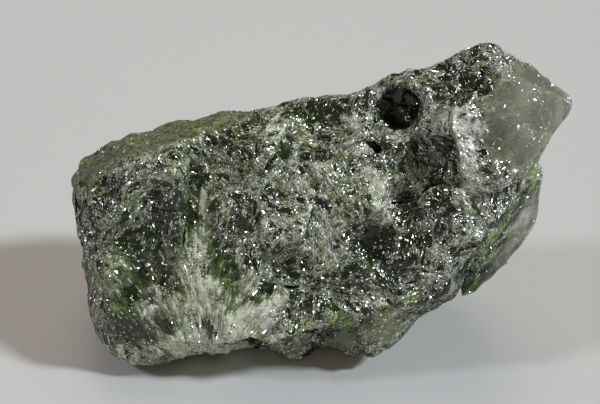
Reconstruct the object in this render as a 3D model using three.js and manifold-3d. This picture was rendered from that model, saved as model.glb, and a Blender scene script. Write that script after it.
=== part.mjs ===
// A broken piece of diopside crystal that lies on a flat cleavage face. Millimetres, +Z up: +X runs
// along the piece to its glassy tip, -Y faces the freshly broken side, and the origin is the middle of
// the bounding box, on the surface that the piece lies on.

import * as THREE from "three";
import { ConvexGeometry } from "three/addons/geometries/ConvexGeometry.js";
import { ImprovedNoise } from "three/addons/math/ImprovedNoise.js";
import { mergeVertices } from "three/addons/utils/BufferGeometryUtils.js";
import Module from "manifold-3d";

// Driving dimensions
const SIDE_LEAN = 38; // degrees that the broken side leans back from upright
const SIDE_MIDDLE = new THREE.Vector3(0, 1.5, 12.0); // a point on the broken side's mean plane
const LONGEST_EDGE = 1.02; // of the triangles that the surface is made of
const SHORTEST_EDGE = 0.35;
const BENDS = [
  { wave: 5.0, push: 0.3 },
  { wave: 1.9, push: 0.14 },
]; // how far the flat faces and straight edges wander from true
const GRAINS = [
  { size: 3.4, tilt: 0.16, step: 0.14, blur: 0.2 },
  { size: 1.7, tilt: 0.28, step: 0.12, blur: 0.12 },
]; // crystal grains: their size, the slope of their faces, and how far they stand out or in
const BACK_GRAIN = 0.6; // height of the grains away from the broken side, to that on it
const TIP_GRAIN = 0.3; // the same for the glassy tip
const BROKEN_FROM = [0.1, 0.5]; // facing towards the broken side, where the grains grow to full height
const TIP_SPREAD = [1.5, 5.0]; // from the middle of the tip, where it turns from glassy to grainy
const HOLLOW_WAVE = 1.6; // of the wandering outline of a hollow
const HOLLOW_WANDER = 0.35;
const OUTWARD_ROUNDS = 6; // of evening out the directions in which the relief stands
const LARGEST_TURN = 60; // degrees that a triangle may turn where a short edge is taken out
const SAME_POINT = 1e-5; // points closer than this are one

const wasm = await Module();
wasm.setup();

// Directions of the broken side: along it is +X, up it is the slope, and out of it is its normal
const lean = THREE.MathUtils.degToRad(SIDE_LEAN);
const SIDE_UP = new THREE.Vector3(0, Math.sin(lean), Math.cos(lean));
const SIDE_OUT = new THREE.Vector3(0, -Math.cos(lean), Math.sin(lean));

// A place by millimetres along, up and out of the broken side's middle
function side(along, up, out) {
  const place = SIDE_MIDDLE.clone();
  place.x += along;
  return place.addScaledVector(SIDE_UP, up).addScaledVector(SIDE_OUT, out);
}

// A place by its own coordinates
function at(x, y, z) {
  return new THREE.Vector3(x, y, z);
}

function solidOf(geometry) {
  const bare = new THREE.BufferGeometry();
  bare.setAttribute("position", geometry.getAttribute("position"));
  if (geometry.index) bare.setIndex(geometry.index);
  const merged = mergeVertices(bare, SAME_POINT);
  const vertProperties = new Float32Array(merged.getAttribute("position").array);
  const triVerts = new Uint32Array(merged.index.array);
  return new wasm.Manifold(new wasm.Mesh({ numProp: 3, vertProperties, triVerts }));
}

function block(corners) {
  return solidOf(new ConvexGeometry(corners));
}

// A solid's corner points, and the three that each triangle joins
function surfaceOf(solid) {
  const { vertProperties, triVerts } = solid.getMesh();
  const points = [];
  for (let i = 0; i < vertProperties.length; i += 3) {
    points.push(new THREE.Vector3().fromArray(vertProperties, i));
  }
  const triangles = [];
  for (let i = 0; i < triVerts.length; i += 3) triangles.push(Array.from(triVerts.slice(i, i + 3)));
  return { points, triangles };
}

function geometryOf({ points, triangles }) {
  return new THREE.BufferGeometry().setFromPoints(points).setIndex(triangles.flat());
}

// The long block, with the weathered strip on its top
const longBlock = block([
  // left end: its outer edge, then its ridge with the broken side
  side(-16.5, -1.3, -2.0), side(-16.9, -1.8, -3.6), side(-16.9, -3.6, -4.2),
  side(-16.2, -6.6, -3.7), side(-15.5, -8.5, -3.0), side(-15.2, -10.4, -2.1),
  side(-14.8, -11.7, -1.5), side(-14.2, -12.6, -1.2), side(-13.0, -13.2, -0.9),
  side(-15.2, -2.2, -0.7), side(-14.5, -3.3, -0.2), side(-14.1, -6.1, 0.1), side(-14.1, -9.3, 0.1),
  side(-13.4, -11.6, -0.3),
  // weathered strip: its back edge, then its ridge with the broken side
  side(-16.2, 0.1, -4.0), side(-14.7, 0.6, -4.6), side(-12.7, 1.1, -5.0), side(-10.7, 2.0, -5.2),
  side(-8.0, 2.6, -5.0), side(-5.9, 3.0, -4.6), side(-5.0, 2.7, -4.0), side(-13.8, -1.5, -0.5),
  side(-12.2, -0.4, -0.3), side(-10.3, 0.2, -0.1), side(-7.7, 0.7, -0.1), side(-5.8, 1.9, -0.6),
  // broken side
  side(-10.8, -5.0, 0.3), side(-8.3, -9.3, 0.5), side(-2.0, -6.0, 0.5), side(3.0, -7.0, 0.6),
  // front foot
  side(-11.3, -13.3, -0.6), side(-9.0, -12.8, -0.4), side(-7.4, -12.5, -0.2),
  side(-5.5, -11.7, 0.1), side(-3.8, -11.5, 0.1), side(0.5, -10.7, 0.0), side(2.2, -11.7, -0.7),
  // underside
  at(-12.0, -4.0, -0.6), at(-12.8, 3.6, -0.6), at(-6.0, -3.0, -0.6), at(2.8, -3.2, -0.6),
  at(4.6, 3.4, -0.6),
  // back
  at(-15.4, 5.6, 6.6), at(-13.6, 6.2, 2.4), at(-6.0, 8.0, 7.8), at(-4.0, 7.4, 3.0),
  at(4.0, 7.4, 10.2), at(5.0, 6.2, 3.2), at(2.2, 5.8, 13.0),
  // top of the middle
  side(-3.8, 2.5, -1.8), side(-2.0, 3.2, -1.7), side(0.5, 3.8, -1.6), side(1.9, 3.8, -1.6),
  side(3.5, 4.2, -1.6),
]);

// The summit and the tip
const tipBlock = block([
  side(0.0, 3.4, -2.2), side(3.5, 4.4, -1.6), side(5.1, 5.0, -1.2), side(7.0, 5.4, -1.0),
  side(8.4, 6.1, -0.9), side(10.0, 6.8, -0.6), side(10.8, 6.9, -0.6), side(11.8, 6.3, -0.4),
  side(13.3, 5.8, -0.1), side(14.5, 4.3, 0.3), side(15.7, 3.4, 0.6), side(15.8, 2.7, 0.6),
  side(14.7, 1.4, 0.5), side(13.7, 0.0, 0.3), side(12.4, -1.2, 0.4), side(9.0, 2.0, 0.8),
  side(8.0, -1.0, 0.6), side(4.0, 0.5, 0.2), side(14.8, 3.4, -0.9), side(13.2, 0.6, -2.2),
  side(12.4, 4.4, -4.0), side(9.6, 5.0, -4.6), side(2.0, 2.6, -5.2), side(9.0, -2.5, -7.0),
  side(2.0, -4.0, -6.0),
]);

// The shoulder under the tip, down to the grey streaked band along its lower edge
const shoulderBlock = block([
  // ridge above the band
  side(13.3, -0.6, 0.2), side(12.5, -2.1, 0.6), side(11.3, -4.0, 0.9), side(10.0, -5.8, 1.1),
  side(8.2, -7.6, 1.2), side(6.3, -9.1, 1.1), side(4.7, -10.2, 0.9), side(2.8, -11.2, 0.5),
  // lower edge of the band
  side(13.6, -1.8, -0.8), side(12.6, -4.2, -0.9), side(11.2, -6.2, -0.9), side(9.3, -8.1, -0.9),
  side(7.5, -9.6, -1.0), side(5.5, -11.2, -1.0), side(4.3, -12.6, -1.1), side(3.3, -13.2, -1.1),
  // behind and below
  side(13.2, 0.6, -3.4), at(13.0, 4.8, 9.2), at(12.0, 5.2, 6.0), at(9.0, 5.0, 3.0),
  at(5.0, 4.4, 0.8), at(6.4, -1.0, 1.8), at(10.2, 0.4, 4.2), at(12.6, 2.0, 7.0),
  side(2.0, 0.0, 0.0), side(0.0, -9.0, 0.2), at(0.0, 5.0, 8.0), at(0.0, 0.0, 1.0),
]);

// The thin pale flange that stands out behind the band
const flangeBlock = block([
  side(13.8, -0.9, -1.7), side(13.7, -2.9, -1.6), side(13.6, -3.8, -1.6), side(13.3, -5.1, -1.6),
  side(12.8, -6.0, -1.6), side(12.0, -7.4, -1.6), side(11.2, -8.4, -1.6), side(10.2, -9.3, -1.6),
  side(8.9, -9.8, -1.6), side(13.0, -1.8, -1.1), side(12.0, -4.9, -1.1), side(9.8, -7.4, -1.1),
  side(13.6, -1.0, -2.6), side(12.8, -4.6, -2.8), side(10.4, -7.0, -3.0), side(8.0, -6.8, -3.6),
  side(10.0, 0.0, -5.0),
]);

// The heel that the middle stands on, under the hollow of the broken side
const heelBlock = block([
  side(-2.8, -12.2, -1.4), side(-2.2, -12.9, -1.6), side(-1.2, -13.1, -1.7),
  side(-0.5, -12.6, -1.6), side(-0.2, -11.9, -1.4), side(-3.0, -11.0, -0.6),
  side(0.0, -10.6, -0.6), at(-2.8, -3.6, -0.6), at(0.0, -3.8, -0.6), at(-1.2, -4.8, -0.6),
  at(-3.0, 0.0, 3.0), at(0.0, 0.0, 3.0),
]);

// Broken layers on the side. Each is its outer face's corners: along, up and out.
const LAYERS = [
  // left of the long step
  [
    [-14.0, -3.0, 0.0], [-13.3, -1.2, 0.1], [-11.0, 0.0, 0.4], [-8.9, 0.1, 1.0],
    [-8.7, -3.0, 1.3], [-8.8, -6.4, 1.2], [-11.5, -6.9, 0.8], [-13.8, -6.1, 0.4],
  ],
  // fibrous facet at the lower left
  [
    [-13.9, -6.6, 0.4], [-8.8, -6.6, 1.1], [-7.9, -9.3, 1.4], [-7.5, -12.0, 1.0],
    [-9.1, -12.4, 0.4], [-11.2, -12.7, -0.1], [-12.6, -12.2, -0.2], [-13.8, -10.4, 0.1],
  ],
  // milky ribs
  [
    [-8.5, -6.3, 0.8], [-4.9, -6.1, 0.9], [-3.7, -9.2, 1.6], [-4.1, -11.8, 1.4],
    [-5.4, -11.8, 1.3], [-7.2, -12.0, 1.0], [-7.7, -9.2, 1.6],
  ],
  // pale facet over the hollow
  [
    [-3.7, -8.3, 1.5], [0.0, -8.1, 1.6], [1.4, -9.8, 1.5], [0.6, -10.7, 1.5], [-1.4, -11.4, 1.6],
    [-3.7, -12.1, 1.5], [-4.6, -11.9, 1.3], [-4.5, -9.9, 1.6],
  ],
  // middle of the side
  [
    [-7.5, -0.3, 0.2], [-5.2, 0.7, 0.1], [-4.0, -1.1, 0.7], [-4.8, -4.6, 1.1], [-6.3, -6.3, 0.8],
    [-7.6, -4.4, 0.3],
  ],
  [
    [-4.3, -1.4, 0.8], [-2.0, -0.3, 0.5], [-0.2, -2.1, 0.9], [-1.5, -5.2, 1.1], [-3.5, -6.4, 0.8],
    [-4.5, -4.4, 0.6],
  ],
  [
    [-1.0, -0.6, 0.8], [2.0, 0.7, 0.4], [4.1, -0.9, 0.9], [3.7, -3.6, 1.2], [1.3, -5.5, 0.8],
    [-1.0, -3.3, 0.6],
  ],
  [
    [-3.5, 2.3, -0.8], [0.6, 3.4, -0.9], [3.1, 2.8, -0.3], [2.8, 0.8, 0.8], [0.5, 0.1, 0.8],
    [-2.5, 0.5, 0.4],
  ],
  // pale sliver
  [
    [-2.6, 2.6, -0.5], [-2.0, 2.2, -0.2], [-3.7, -0.8, 1.4], [-4.4, -1.2, 1.2], [-4.1, 0.2, 0.8],
    [-3.2, 2.0, -0.2],
  ],
  // right of the middle
  [
    [4.2, -3.3, 1.2], [7.5, -2.0, 1.2], [9.3, -3.0, 1.6], [9.0, -5.5, 1.6], [6.8, -7.4, 1.5],
    [4.3, -7.0, 1.4], [3.5, -5.2, 1.0],
  ],
  [
    [1.8, -6.1, 0.9], [4.9, -6.9, 1.4], [6.8, -7.7, 1.3], [6.2, -9.3, 1.2], [3.7, -10.9, 1.0],
    [1.8, -10.5, 1.1], [0.5, -8.3, 1.2],
  ],
  // smooth tip, with its scarp over the dark alcove
  [
    [7.8, 1.5, 1.9], [8.2, 3.2, 1.4], [9.9, 4.2, 1.1], [12.1, 4.9, 0.8], [14.0, 4.1, 0.6],
    [15.2, 3.3, 0.8], [15.2, 3.0, 0.8], [14.3, 1.5, 0.8], [13.3, 0.2, 0.8], [12.2, -1.0, 1.1],
    [11.2, -2.1, 1.7], [10.2, -2.5, 1.9], [9.0, -2.0, 2.0], [9.0, -0.5, 2.1],
  ],
  // summit
  [
    [4.2, 3.9, -0.8], [5.1, 4.7, -0.9], [7.0, 5.1, -0.8], [8.6, 5.8, -0.6], [10.1, 6.4, -0.4],
    [11.0, 6.3, -0.2], [11.9, 5.5, 0.3], [11.3, 4.3, 0.8], [8.4, 3.4, 0.9], [6.8, 2.7, 0.7],
  ],
  // shingle under the scarp
  [
    [8.4, -3.3, 1.5], [10.3, -3.1, 1.1], [10.9, -4.1, 1.0], [9.6, -5.7, 1.5], [8.0, -5.2, 2.1],
    [7.9, -4.0, 2.0],
  ],
];
const LAYER_ROOT = -0.8; // how deep the layers reach into the blocks
const LAYER_FLARE = 1.12; // outline of a layer's root to that of its outer face

const GLASSY_TIP = side(12.8, 2.0, 0.8);

// Rounded hollows: middle, how far they reach from it along, up and out of the side, and how deep
const HOLLOWS = [
  // dark round pit near the top
  { middle: side(5.0, 3.0, 0.3), reach: [1.6, 1.9, 2.5], deep: 1.5 },
  // alcove left of the tip's scarp
  { middle: side(6.9, -0.3, 0.6), reach: [2.1, 2.2, 2.5], deep: 1.1 },
  // darker hollows of the middle
  { middle: side(3.1, -5.5, 0.9), reach: [1.7, 1.4, 2.5], deep: 0.8 },
  { middle: side(5.1, -3.0, 1.0), reach: [1.2, 1.7, 2.5], deep: 0.8 },
  { middle: side(-2.4, -7.3, 0.9), reach: [1.8, 1.2, 2.5], deep: 0.7 },
  { middle: side(1.2, -8.7, 0.9), reach: [2.4, 1.1, 2.5], deep: 0.6 },
  { middle: side(-10.8, -3.9, 0.9), reach: [2.2, 2.3, 2.5], deep: 0.7 },
  { middle: side(-6.3, 1.4, 0.0), reach: [2.0, 1.3, 2.5], deep: 0.8 },
  // hollow under the pale facet's edge
  { middle: side(-0.9, -12.2, -0.3), reach: [2.4, 1.2, 2.0], deep: 1.3 },
  // notch between the foot and the heel
  { middle: side(-4.8, -12.4, -1.0), reach: [2.2, 1.6, 2.6], deep: 0.9 },
  // shell-shaped breaks in the back, the top, the left end and the underside of the tip
  { middle: at(-7.5, 7.8, 5.5), reach: [6.5, 5.0, 5.0], deep: 1.4 },
  { middle: at(4.0, 7.0, 7.5), reach: [5.0, 5.0, 5.0], deep: 1.2 },
  { middle: at(10.5, 6.0, 10.0), reach: [4.0, 4.5, 4.5], deep: 1.0 },
  { middle: at(-9.5, 5.0, 11.0), reach: [3.5, 3.0, 3.0], deep: 0.4 },
  { middle: at(-15.8, 2.0, 5.0), reach: [2.5, 3.6, 4.0], deep: 0.5 },
  { middle: at(9.0, 1.5, 3.0), reach: [4.5, 4.5, 4.5], deep: 0.9 },
];

function layer(rim) {
  const middle = [0, 1].map((axis) => rim.reduce((sum, corner) => sum + corner[axis], 0) / rim.length);
  const corners = [];
  for (const [along, up, out] of rim) {
    corners.push(side(along, up, out));
    const [rootAlong, rootUp] = [along, up].map((value, i) => middle[i] + (value - middle[i]) * LAYER_FLARE);
    corners.push(side(rootAlong, rootUp, LAYER_ROOT));
  }
  return block(corners);
}

// Splits the edges of a mesh at their middles until none is longer than the longest allowed
function refine({ points, triangles }, longest) {
  let middles;
  const middle = (a, b) => {
    if (points[a].distanceTo(points[b]) <= longest) return undefined;
    const key = a < b ? `${a} ${b}` : `${b} ${a}`;
    if (!middles.has(key)) middles.set(key, points.push(points[a].clone().lerp(points[b], 0.5)) - 1);
    return middles.get(key);
  };
  do {
    middles = new Map();
    const next = [];
    for (let [a, b, c] of triangles) {
      let [ab, bc, ca] = [middle(a, b), middle(b, c), middle(c, a)];
      const split = [ab, bc, ca].filter((found) => found !== undefined).length;
      // turned until the first edge is split and, of two split edges, the third is whole
      while ((split === 1 || split === 2) && (ab === undefined || (split === 2 && ca !== undefined))) {
        [a, b, c, ab, bc, ca] = [b, c, a, bc, ca, ab];
      }
      if (split === 0) next.push([a, b, c]);
      if (split === 1) next.push([a, ab, c], [ab, b, c]);
      if (split === 2) next.push([a, ab, c], [ab, b, bc], [ab, bc, c]);
      if (split === 3) next.push([a, ab, ca], [ab, b, bc], [ca, bc, c], [ab, bc, ca]);
    }
    triangles = next;
  } while (middles.size > 0);
  return { points, triangles };
}

// Takes out the edges shorter than the shortest allowed. An edge stays where a face beside it would turn
// too far, or where its two ends have other neighbours in common than the corners of its own triangles.
function thin({ points, triangles }, shortest) {
  const leastFacing = Math.cos(THREE.MathUtils.degToRad(LARGEST_TURN));
  const ownCorners = 4;
  const facing = (corners) => {
    const triangle = new THREE.Triangle(...corners.map((corner) => points[corner]));
    return triangle.getNormal(new THREE.Vector3());
  };
  let found = true;
  while (found) {
    found = false;
    const around = points.map(() => []);
    for (const triangle of triangles) triangle.forEach((corner) => around[corner].push(triangle));
    const settled = new Set();
    const moved = new Map();
    const edges = triangles.flatMap(([a, b, c]) => [[a, b], [b, c], [c, a], [b, a], [c, b], [a, c]]);
    for (const [from, to] of edges) {
      if (points[from].distanceTo(points[to]) >= shortest || settled.has(from) || settled.has(to)) continue;
      const ring = new Set(around[from].flat());
      const shared = new Set(around[to].flat().filter((corner) => ring.has(corner)));
      const turnsOver = around[from].some((triangle) => {
        if (triangle.includes(to)) return false;
        const after = facing(triangle.map((corner) => (corner === from ? to : corner)));
        return after.dot(facing(triangle)) < leastFacing;
      });
      if (shared.size !== ownCorners || turnsOver) continue;
      moved.set(from, to);
      for (const corner of [...ring, ...around[to].flat()]) settled.add(corner);
      found = true;
    }
    triangles = triangles.map((triangle) => triangle.map((corner) => moved.get(corner) ?? corner));
    triangles = triangles.filter(([a, b, c]) => a !== b && b !== c && c !== a);
  }
  return { points, triangles };
}

const noise = new ImprovedNoise();
const wander = (point, wave, shift) => noise.noise(point.x / wave + shift, point.y / wave, point.z / wave);

// Lets the faces and edges wander, as no break in a crystal is quite flat or straight
function bend(point) {
  const shift = new THREE.Vector3();
  for (const { wave, push } of BENDS) {
    shift.x += push * wander(point, wave, 40.1);
    shift.y += push * wander(point, wave, 71.7);
    shift.z += push * wander(point, wave, 93.9);
  }
  return shift;
}

// A number from 0 to 1 that looks random, the same each time for a place and a salt
function scatter(place, salt) {
  const value = Math.sin(place.x * 127.1 + place.y * 311.7 + place.z * 74.7 + salt * 53.9) * 43758.5453;
  return value - Math.floor(value);
}

// How far the grains' tilted faces stand out at a point
function grainHeight(point, { size, tilt, step, blur }) {
  const cell = point.clone().divideScalar(size).floor();
  const near = [];
  for (let i = 0; i < 27; i++) {
    const corner = new THREE.Vector3(i % 3, Math.floor(i / 3) % 3, Math.floor(i / 9)).add(cell).subScalar(1);
    const chance = (salt) => scatter(corner, salt);
    const seed = new THREE.Vector3(chance(0), chance(1), chance(2)).add(corner);
    const away = point.clone().addScaledVector(seed, -size);
    const slope = new THREE.Vector3(chance(3), chance(4), chance(5)).subScalar(0.5);
    const height = 2 * step * (chance(6) - 0.5) + 2 * tilt * slope.dot(away);
    near.push({ distance: away.length(), height });
  }
  const closest = Math.min(...near.map((each) => each.distance));
  const weights = near.map((each) => Math.exp((closest - each.distance) / blur));
  const total = weights.reduce((sum, weight) => sum + weight, 0);
  return near.reduce((sum, each, i) => sum + each.height * weights[i], 0) / total;
}

// How deep the hollows are at a point
function hollowDepth(point) {
  let depth = 0;
  for (const { middle, reach, deep } of HOLLOWS) {
    const away = point.clone().sub(middle);
    const share = new THREE.Vector3(away.x, away.dot(SIDE_UP), away.dot(SIDE_OUT));
    share.divide(new THREE.Vector3(...reach));
    const distance = share.length() * (1 + HOLLOW_WANDER * wander(point, HOLLOW_WAVE, 5.3));
    if (distance < 1) depth = Math.max(depth, deep * (1 - distance ** 4) ** 2);
  }
  return depth;
}

// Outward directions at the points, evened out over their neighbours
function outwardOf({ points, triangles }) {
  let outward = points.map(() => new THREE.Vector3());
  for (const corners of triangles) {
    const [a, b, c] = corners.map((corner) => points[corner]);
    const facing = b.clone().sub(a).cross(c.clone().sub(a));
    corners.forEach((corner) => outward[corner].add(facing));
  }
  outward.forEach((direction) => direction.normalize());
  for (let round = 0; round < OUTWARD_ROUNDS; round++) {
    const sums = outward.map((direction) => direction.clone());
    for (const [a, b, c] of triangles) {
      sums[a].add(outward[b]).add(outward[c]);
      sums[b].add(outward[c]).add(outward[a]);
      sums[c].add(outward[a]).add(outward[b]);
    }
    outward = sums.map((sum) => sum.normalize());
  }
  return outward;
}

// The relief of the broken surface
function roughen({ points, triangles }) {
  const outward = outwardOf({ points, triangles });
  const raised = points.map((point, i) => {
    const broken = THREE.MathUtils.smoothstep(outward[i].dot(SIDE_OUT), ...BROKEN_FROM);
    const glassy = 1 - THREE.MathUtils.smoothstep(point.distanceTo(GLASSY_TIP), ...TIP_SPREAD);
    const grainy = THREE.MathUtils.lerp(BACK_GRAIN, 1, broken) * THREE.MathUtils.lerp(1, TIP_GRAIN, glassy);
    let height = -hollowDepth(point);
    for (const grain of GRAINS) height += grainy * grainHeight(point, grain);
    return point.clone().add(bend(point)).addScaledVector(outward[i], height);
  });
  return { points: raised, triangles };
}

// The piece: blocks grown together with the layers on them, then the relief
let stone = longBlock.add(tipBlock).add(shoulderBlock).add(flangeBlock).add(heelBlock);
for (const rim of LAYERS) stone = stone.add(layer(rim));
const surface = thin(refine(surfaceOf(stone), LONGEST_EDGE), SHORTEST_EDGE);
const rough = solidOf(geometryOf(roughen(surface)));

// The flat face that it lies on, cut at height 0
const CUT_WIDTH = 80;
const CUT_DEPTH = 20;
const below = new THREE.BoxGeometry(CUT_WIDTH, CUT_WIDTH, CUT_DEPTH).translate(0, 0, -CUT_DEPTH / 2);
const rested = rough.subtract(solidOf(below));
const geometry = geometryOf(surfaceOf(rested));
geometry.computeBoundingBox();
const middleOfBox = geometry.boundingBox.getCenter(new THREE.Vector3());
geometry.translate(-middleOfBox.x, -middleOfBox.y, 0);
geometry.computeVertexNormals();

const diopside = new THREE.MeshStandardMaterial({ color: 0x3c4534, roughness: 0.35, metalness: 0.0 });
const crystal = new THREE.Mesh(geometry, diopside);
crystal.name = "diopside_crystal";

const part = new THREE.Group();
part.add(crystal);

export default part;
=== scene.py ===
# A rough, freshly broken piece of diopside crystal, 32 mm long, lying on a pale table between two soft
# lamps. Metres, +Z up: +X runs along the piece to its glassy tip, and -Y faces the freshly broken side.

import itertools
import math

import bpy
import numpy as np
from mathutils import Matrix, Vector, noise


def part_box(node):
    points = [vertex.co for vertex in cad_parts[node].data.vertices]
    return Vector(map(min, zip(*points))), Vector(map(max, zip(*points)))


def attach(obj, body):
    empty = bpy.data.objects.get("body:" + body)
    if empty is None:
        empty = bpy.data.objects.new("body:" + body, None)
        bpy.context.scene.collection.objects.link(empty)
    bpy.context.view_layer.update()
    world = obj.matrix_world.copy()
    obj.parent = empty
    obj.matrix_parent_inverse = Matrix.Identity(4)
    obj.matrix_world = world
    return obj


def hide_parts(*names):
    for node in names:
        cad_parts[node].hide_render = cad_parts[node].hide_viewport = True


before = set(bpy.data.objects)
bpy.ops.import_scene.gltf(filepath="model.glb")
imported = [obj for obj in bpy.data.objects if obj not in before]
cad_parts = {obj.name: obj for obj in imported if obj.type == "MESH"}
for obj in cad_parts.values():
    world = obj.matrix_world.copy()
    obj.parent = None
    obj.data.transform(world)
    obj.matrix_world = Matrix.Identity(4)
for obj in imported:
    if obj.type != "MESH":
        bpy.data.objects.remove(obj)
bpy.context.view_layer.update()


# The crystal: dark green diopside, one natural piece. Its top is a weathered olive rind, its left end is
# old and smooth, and the side towards the front is freshly broken: sugary grain with clear dark windows,
# a milky fan of ribs at the lower left, and a clear, smooth tip at the right.
MM = 0.001
SIDE_LEAN = math.radians(38)  # of the broken side, back from upright
FRONT_MESH = 0.21 * MM  # longest edge of the mesh on the broken side
BACK_MESH = 0.42 * MM  # and elsewhere
DIVISIONS = 5  # rounds of dividing the edges that are longer than that
WELD = 0.0001 * MM

SIDE_UP = np.array((0.0, math.sin(SIDE_LEAN), math.cos(SIDE_LEAN)))
SIDE_OUT = np.array((0.0, -math.cos(SIDE_LEAN), math.sin(SIDE_LEAN)))

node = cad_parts["diopside_crystal"]
low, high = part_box("diopside_crystal")

bpy.ops.object.select_all(action="DESELECT")
crystal = node.copy()
crystal.data = node.data.copy()
crystal.name = crystal.data.name = "diopside"
crystal.parent = None
bpy.context.scene.collection.objects.link(crystal)
bpy.context.view_layer.objects.active = crystal
crystal.select_set(True)

bpy.ops.object.mode_set(mode="EDIT")
bpy.ops.mesh.select_all(action="SELECT")
bpy.ops.mesh.remove_doubles(threshold=WELD)
bpy.ops.object.mode_set(mode="OBJECT")


def values_of(items, name, width):
    """The named value of each of a mesh's items, as an array."""
    values = np.zeros(len(items) * width)
    items.foreach_get(name, values)
    return values.reshape(-1, width) if width > 1 else values


# the flat faces of the solid are divided finely, and stay flat
mesh = crystal.data
bpy.ops.object.mode_set(mode="EDIT")
bpy.ops.mesh.select_mode(type="EDGE")
bpy.ops.object.mode_set(mode="OBJECT")
for _ in range(DIVISIONS):
    ends = values_of(mesh.edges, "vertices", 2).astype(int)
    spots = values_of(mesh.vertices, "co", 3)[ends]
    facing = values_of(mesh.vertices, "normal", 3)[ends] @ SIDE_OUT
    length = np.linalg.norm(spots[:, 0] - spots[:, 1], axis=1)
    mesh.vertices.foreach_set("select", np.zeros(len(mesh.vertices), bool))
    mesh.polygons.foreach_set("select", np.zeros(len(mesh.polygons), bool))
    mesh.edges.foreach_set("select", length > np.where(facing.max(axis=1) > 0, FRONT_MESH, BACK_MESH))
    bpy.ops.object.mode_set(mode="EDIT")
    bpy.ops.mesh.subdivide(number_cuts=1)
    bpy.ops.mesh.select_all(action="SELECT")
    bpy.ops.mesh.quads_convert_to_tris(quad_method="SHORTEST_DIAGONAL")
    bpy.ops.object.mode_set(mode="OBJECT")

points = values_of(mesh.vertices, "co", 3) / MM
normals = values_of(mesh.vertices, "normal", 3)

# small swells and hollows of the outline: each at a place along the piece and up its broken side, with how
# far it moves the surface along and up, in millimetres
SWELL_REACH = 1.35
SWELLS = (
    (-15.4, 8.6, 0.20, -0.02),
    (-15.4, 7.6, 0.36, 0.02),
    (-14.8, 9.8, 0.03, -0.04),
    (-13.6, 10.5, 0.10, -0.19),
    (-12.4, 11.1, -0.02, 0.08),
    (-11.0, 11.5, 0.06, -0.16),
    (-9.7, 11.9, -0.07, 0.22),
    (-8.4, 12.3, -0.05, 0.40),
    (-7.0, 12.5, 0.06, -0.20),
    (-5.6, 12.9, -0.03, 0.19),
    (-4.3, 12.8, -0.05, -0.30),
    (2.4, 14.1, -0.01, 0.08),
    (3.7, 14.6, -0.07, 0.10),
    (4.9, 15.2, -0.03, 0.15),
    (6.3, 15.5, -0.06, 0.26),
    (7.6, 15.8, 0.08, -0.19),
    (8.9, 16.4, 0.03, -0.06),
    (10.1, 17.0, -0.04, 0.09),
    (11.5, 17.1, 0.04, 0.12),
    (12.6, 16.3, -0.11, -0.15),
    (13.9, 15.7, 0.08, 0.10),
    (14.9, 14.8, -0.04, -0.05),
    (16.0, 14.0, 0.10, 0.10),
    (16.2, 12.8, 0.09, -0.04),
    (14.3, 9.3, 0.43, -0.02),
    (14.3, 7.9, -0.10, -0.01),
    (14.2, 6.6, 0.11, -0.02),
    (13.8, 5.2, 0.10, -0.04),
    (12.9, 4.1, -0.17, 0.15),
    (12.0, 3.1, -0.15, 0.15),
    (11.0, 2.1, 0.13, -0.15),
    (9.9, 1.3, -0.07, 0.16),
    (8.6, 0.9, 0.02, -0.02),
    (6.3, -0.7, -0.21, 0.22),
    (5.4, -1.7, 0.06, -0.08),
    (4.2, -2.4, -0.15, 0.31),
    (2.9, -2.6, -0.12, -0.58),
    (1.5, -2.3, 0.00, 0.21),
    (0.1, -2.4, -0.15, 0.31),
    (-2.3, -2.5, -0.09, -0.13),
    (-3.6, -2.1, -0.14, 0.51),
    (-4.9, -2.2, 0.08, -0.15),
    (-5.7, -2.6, 0.10, 0.14),
    (-7.1, -2.5, -0.03, 0.20),
    (-8.5, -2.8, -0.03, 0.14),
    (-9.8, -3.1, -0.02, 0.08),
    (-11.2, -3.3, -0.04, -0.26),
    (-12.5, -2.8, 0.04, 0.06),
    (-13.5, -1.9, -0.08, -0.05),
    (-14.5, 2.1, 0.31, 0.10),
    (-14.8, 3.4, 0.12, 0.02),
    (-15.2, 6.2, -0.25, -0.03),
)
NOTCH_REACH = 0.6
NOTCHES = ((9.0, 1.4, 0.15, -0.45),)  # between the broken side and the lobe, filled up
swell = np.zeros((len(points), 2))
for reach, rows in ((SWELL_REACH, SWELLS), (NOTCH_REACH, NOTCHES)):
    for x, y, aside, upwards in rows:
        away = np.hypot(points[:, 0] - x, points @ SIDE_UP - y)
        swell += np.exp(-((away / reach) ** 2))[:, None] * (aside, upwards)
standing = np.clip(points[:, 2:], 0, 1)  # what lies on the table slides along it
slope = standing * SIDE_UP + (1 - standing) * (0.0, 1 / SIDE_UP[1], 0.0)
points = points + swell[:, :1] * (1.0, 0.0, 0.0) + swell[:, 1:] * slope

ends = values_of(mesh.edges, "vertices", 2).astype(int)
neighbours = np.bincount(ends.ravel(), minlength=len(points))[:, None]


def evened(level, rounds):
    """The level of each point's surroundings, wider with each round."""
    for _ in range(rounds):
        total = np.zeros_like(level)
        np.add.at(total, ends[:, 0], level[ends[:, 1]])
        np.add.at(total, ends[:, 1], level[ends[:, 0]])
        level = total / neighbours
    return level


# the sharpest corners are worn off, and the lobe at the lower right ends bluntly
WEAR = 0.10
WEAR_ROUNDS = 12
LOBE_END = (9.35, 0.7)
LOBE_REACH = 0.9
LOBE_ROUNDS = 24
away = np.hypot(points[:, 0] - LOBE_END[0], points @ SIDE_UP - LOBE_END[1])
points = points + np.exp(-((away / LOBE_REACH) ** 4))[:, None] * (evened(points, LOBE_ROUNDS) - points)
back = evened(points, WEAR_ROUNDS) - points
length = np.linalg.norm(back, axis=1, keepdims=True)
points = points + back * np.clip(1 - WEAR / np.maximum(length, WEAR), 0, 1)

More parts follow.
